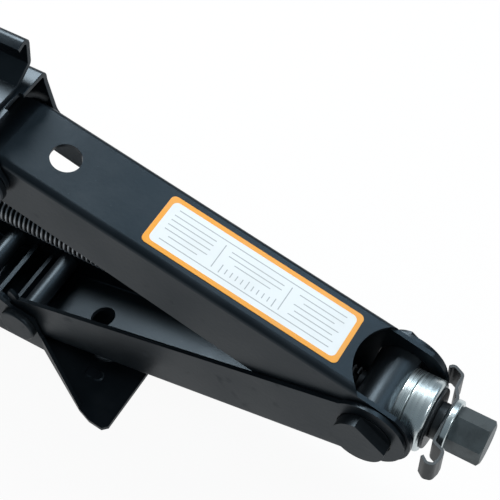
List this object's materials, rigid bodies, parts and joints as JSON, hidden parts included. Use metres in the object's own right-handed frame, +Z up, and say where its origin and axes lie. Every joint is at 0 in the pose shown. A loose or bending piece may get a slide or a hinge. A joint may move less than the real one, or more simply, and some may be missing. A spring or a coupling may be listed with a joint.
{
  "type": "scissor jack",
  "caption": "Scissor jack: folding sheet-steel channel arms with meshed gear ends, a lead screw with a hex head and thrust bearing, a flared base and a slotted saddle for a sill seam.",
  "frame": {"origin": "middle of the base's underside, on the ground", "axes": "+X along the lead screw towards the hex head, +Z up, -Y the front seen in the picture"},
  "size_m": [0.5686, 0.1112, 0.2077],
  "materials": {
    "black_paint": "gloss",
    "pin_paint": "satin",
    "dark_steel": "satin",
    "bright_zinc": "satin",
    "black_oxide": "satin",
    "cage_steel": "satin",
    "polished_steel": "polished",
    "label_vinyl": "satin"
  },
  "bodies": {
    "base": {"base_plate": "black_paint", "base_pin_right": "pin_paint", "base_pin_left": "pin_paint"},
    "lower_arm_right": {"lower_arm_right": "black_paint"},
    "lower_arm_left": {"lower_arm_left": "black_paint"},
    "upper_arm_right": {"upper_arm_right": "black_paint", "label_sticker": "label_vinyl"},
    "upper_arm_left": {"upper_arm_left": "black_paint"},
    "saddle": {"saddle_bracket": "black_paint", "saddle_tray": "black_paint", "saddle_pin_right": "pin_paint", "saddle_pin_left": "pin_paint"},
    "drive_trunnion": {"drive_trunnion": "pin_paint", "bearing_race": "bright_zinc"},
    "nut_trunnion": {"nut_trunnion": "pin_paint"},
    "screw": {"lead_screw": "dark_steel", "hex_head": "dark_steel", "stop_washer": "dark_steel", "stop_pin": "bright_zinc", "bearing_cup": "bright_zinc", "back_washer": "black_oxide", "screw_spacer": "black_oxide", "hook_clip": "black_oxide", "front_washer": "bright_zinc"},
    "bearing_cage": {"bearing_cage": "cage_steel", "bearing_balls": "polished_steel"}
  },
  "joints": [
    {"name": "lift", "type": "hinge", "parent": "base", "child": "lower_arm_right", "pos_m": [0.0191, 0, 0.0197], "axis": [0, -1, 0], "range_deg": [-10.6, 33.9]},
    {"name": "lower_left_pivot", "type": "hinge", "parent": "base", "child": "lower_arm_left", "pos_m": [-0.0191, 0, 0.0197], "axis": [0, -1, 0], "range_deg": [-33.9, 10.6]},
    {"name": "drive_pivot_upper", "type": "hinge", "parent": "lower_arm_right", "child": "upper_arm_right", "pos_m": [0.23691, 0, 0.08257], "axis": [0, -1, 0], "range_deg": [-67.8, 21.2]},
    {"name": "nut_pivot_upper", "type": "hinge", "parent": "lower_arm_left", "child": "upper_arm_left", "pos_m": [-0.23691, 0, 0.08257], "axis": [0, -1, 0], "range_deg": [-21.2, 67.8]},
    {"name": "saddle_pivot", "type": "hinge", "parent": "upper_arm_right", "child": "saddle", "pos_m": [0.0191, 0, 0.14543], "axis": [0, -1, 0], "range_deg": [-10.6, 33.9]},
    {"name": "drive_trunnion_pivot", "type": "hinge", "parent": "lower_arm_right", "child": "drive_trunnion", "pos_m": [0.23691, 0, 0.08257], "axis": [0, -1, 0], "range_deg": [-33.9, 10.6]},
    {"name": "nut_trunnion_pivot", "type": "hinge", "parent": "lower_arm_left", "child": "nut_trunnion", "pos_m": [-0.23691, 0, 0.08257], "axis": [0, -1, 0], "range_deg": [-10.6, 33.9]},
    {"name": "screw_spin", "type": "hinge", "parent": "drive_trunnion", "child": "screw", "pos_m": [0.23691, 0, 0.08257], "axis": [1, 0, 0], "continuous": true},
    {"name": "cage_roll", "type": "hinge", "parent": "drive_trunnion", "child": "bearing_cage", "pos_m": [0.23691, 0, 0.08257], "axis": [1, 0, 0], "continuous": true}
  ],
  "couplings": [
    {"joint": "lower_left_pivot", "follows": "lift", "ratio": -1},
    {"joint": "drive_pivot_upper", "follows": "lift", "ratio": -2},
    {"joint": "nut_pivot_upper", "follows": "lift", "ratio": 2},
    {"joint": "saddle_pivot", "follows": "lift", "ratio": 1},
    {"joint": "drive_trunnion_pivot", "follows": "lift", "ratio": -1},
    {"joint": "nut_trunnion_pivot", "follows": "lift", "ratio": 1},
    {"joint": "cage_roll", "follows": "screw_spin", "ratio": 0.5}
  ]
}
